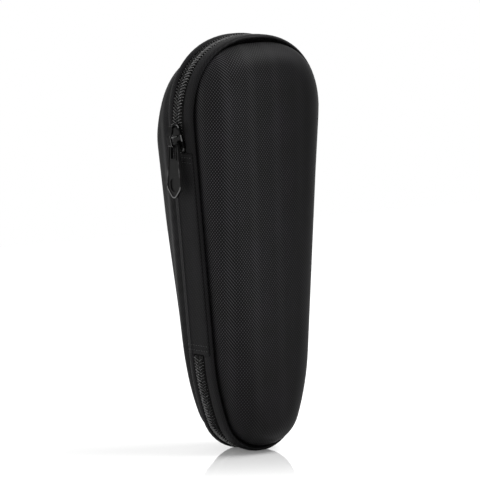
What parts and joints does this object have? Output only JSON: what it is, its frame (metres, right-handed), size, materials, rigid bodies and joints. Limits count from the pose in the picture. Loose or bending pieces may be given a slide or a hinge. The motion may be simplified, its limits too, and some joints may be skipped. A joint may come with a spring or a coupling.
{
  "type": "electric shaver hard case",
  "caption": "Moulded clamshell hard case for an electric shaver: woven cover, coil zipper with slider and pull tab, fabric hinge, inner elastic band and mesh pocket.",
  "frame": {"origin": "bottom centre of the bounding box, under the small flat at the narrow end that the case stands on", "axes": "+Z along the case's length, from the narrow end to the wide end; the lid faces -Y, the deep half bulges towards +Y, the hinge is on the -X side"},
  "size_m": [0.0818, 0.061, 0.1996],
  "materials": {
    "woven_nylon": "black ballistic weave, slight sheen",
    "foam": "closed-cell moulded foam, matt",
    "lining_cloth": "knitted, matt",
    "zipper_tape": "woven tape, matt",
    "coil": "nylon monofilament, satin",
    "thread": "sewing thread",
    "stop_metal": "black, satin",
    "slider_enamel": "black enamel, semi-gloss",
    "spring_steel": "plain",
    "tab_plastic": "black, satin, raised border",
    "elastic": "ribbed elastic webbing",
    "mesh": "open knitted mesh"
  },
  "bodies": {
    "back_half": {"back_rim": "woven_nylon", "back_cover": "woven_nylon", "back_foam": "foam", "back_lining": "lining_cloth", "back_zipper_tape": "zipper_tape", "back_coil": "coil", "back_tape_stitching": "thread", "back_hinge_leaf": "woven_nylon", "back_hinge_lining": "lining_cloth", "back_hinge_stitching": "thread", "back_upper_stop": "stop_metal", "back_lower_stop": "stop_metal", "elastic_band": "elastic", "band_anchors": "elastic"},
    "front_half": {"front_rim": "woven_nylon", "front_cover": "woven_nylon", "front_foam": "foam", "front_lining": "lining_cloth", "front_zipper_tape": "zipper_tape", "front_coil": "coil", "front_tape_stitching": "thread", "front_hinge_leaf": "woven_nylon", "front_hinge_lining": "lining_cloth", "front_hinge_stitching": "thread", "front_upper_stop": "stop_metal", "front_lower_stop": "stop_metal", "mesh_pocket": "mesh", "pocket_hem": "elastic"},
    "slider": {"slider_body": "slider_enamel", "slider_cap": "slider_enamel", "slider_lock_spring": "spring_steel"},
    "pull_tab": {"pull_tab": "tab_plastic"}
  },
  "joints": [
    {"name": "lid_hinge", "type": "hinge", "parent": "back_half", "child": "front_half", "pos_m": [-0.0359, -0.0075, 0.15839], "axis": [0.0837, 0, -0.9965], "range_deg": [0, 175], "deforming": ["front_coil", "front_zipper_tape", "front_tape_stitching", "front_upper_stop"]},
    {"name": "slider_travel", "type": "hinge", "parent": "back_half", "child": "slider", "pos_m": [0.00286, -0.0075, 0.16044], "axis": [0, 1, 0], "range_deg": [0, 176]},
    {"name": "tab_swing", "type": "hinge", "parent": "slider", "child": "pull_tab", "pos_m": [-0.03738, -0.0075, 0.1492], "axis": [0, 1, 0], "range_deg": [0, 150]}
  ],
  "couplings": [
    {"joint": "slider_travel", "follows": "lid_hinge", "ratio": 1}
  ]
}
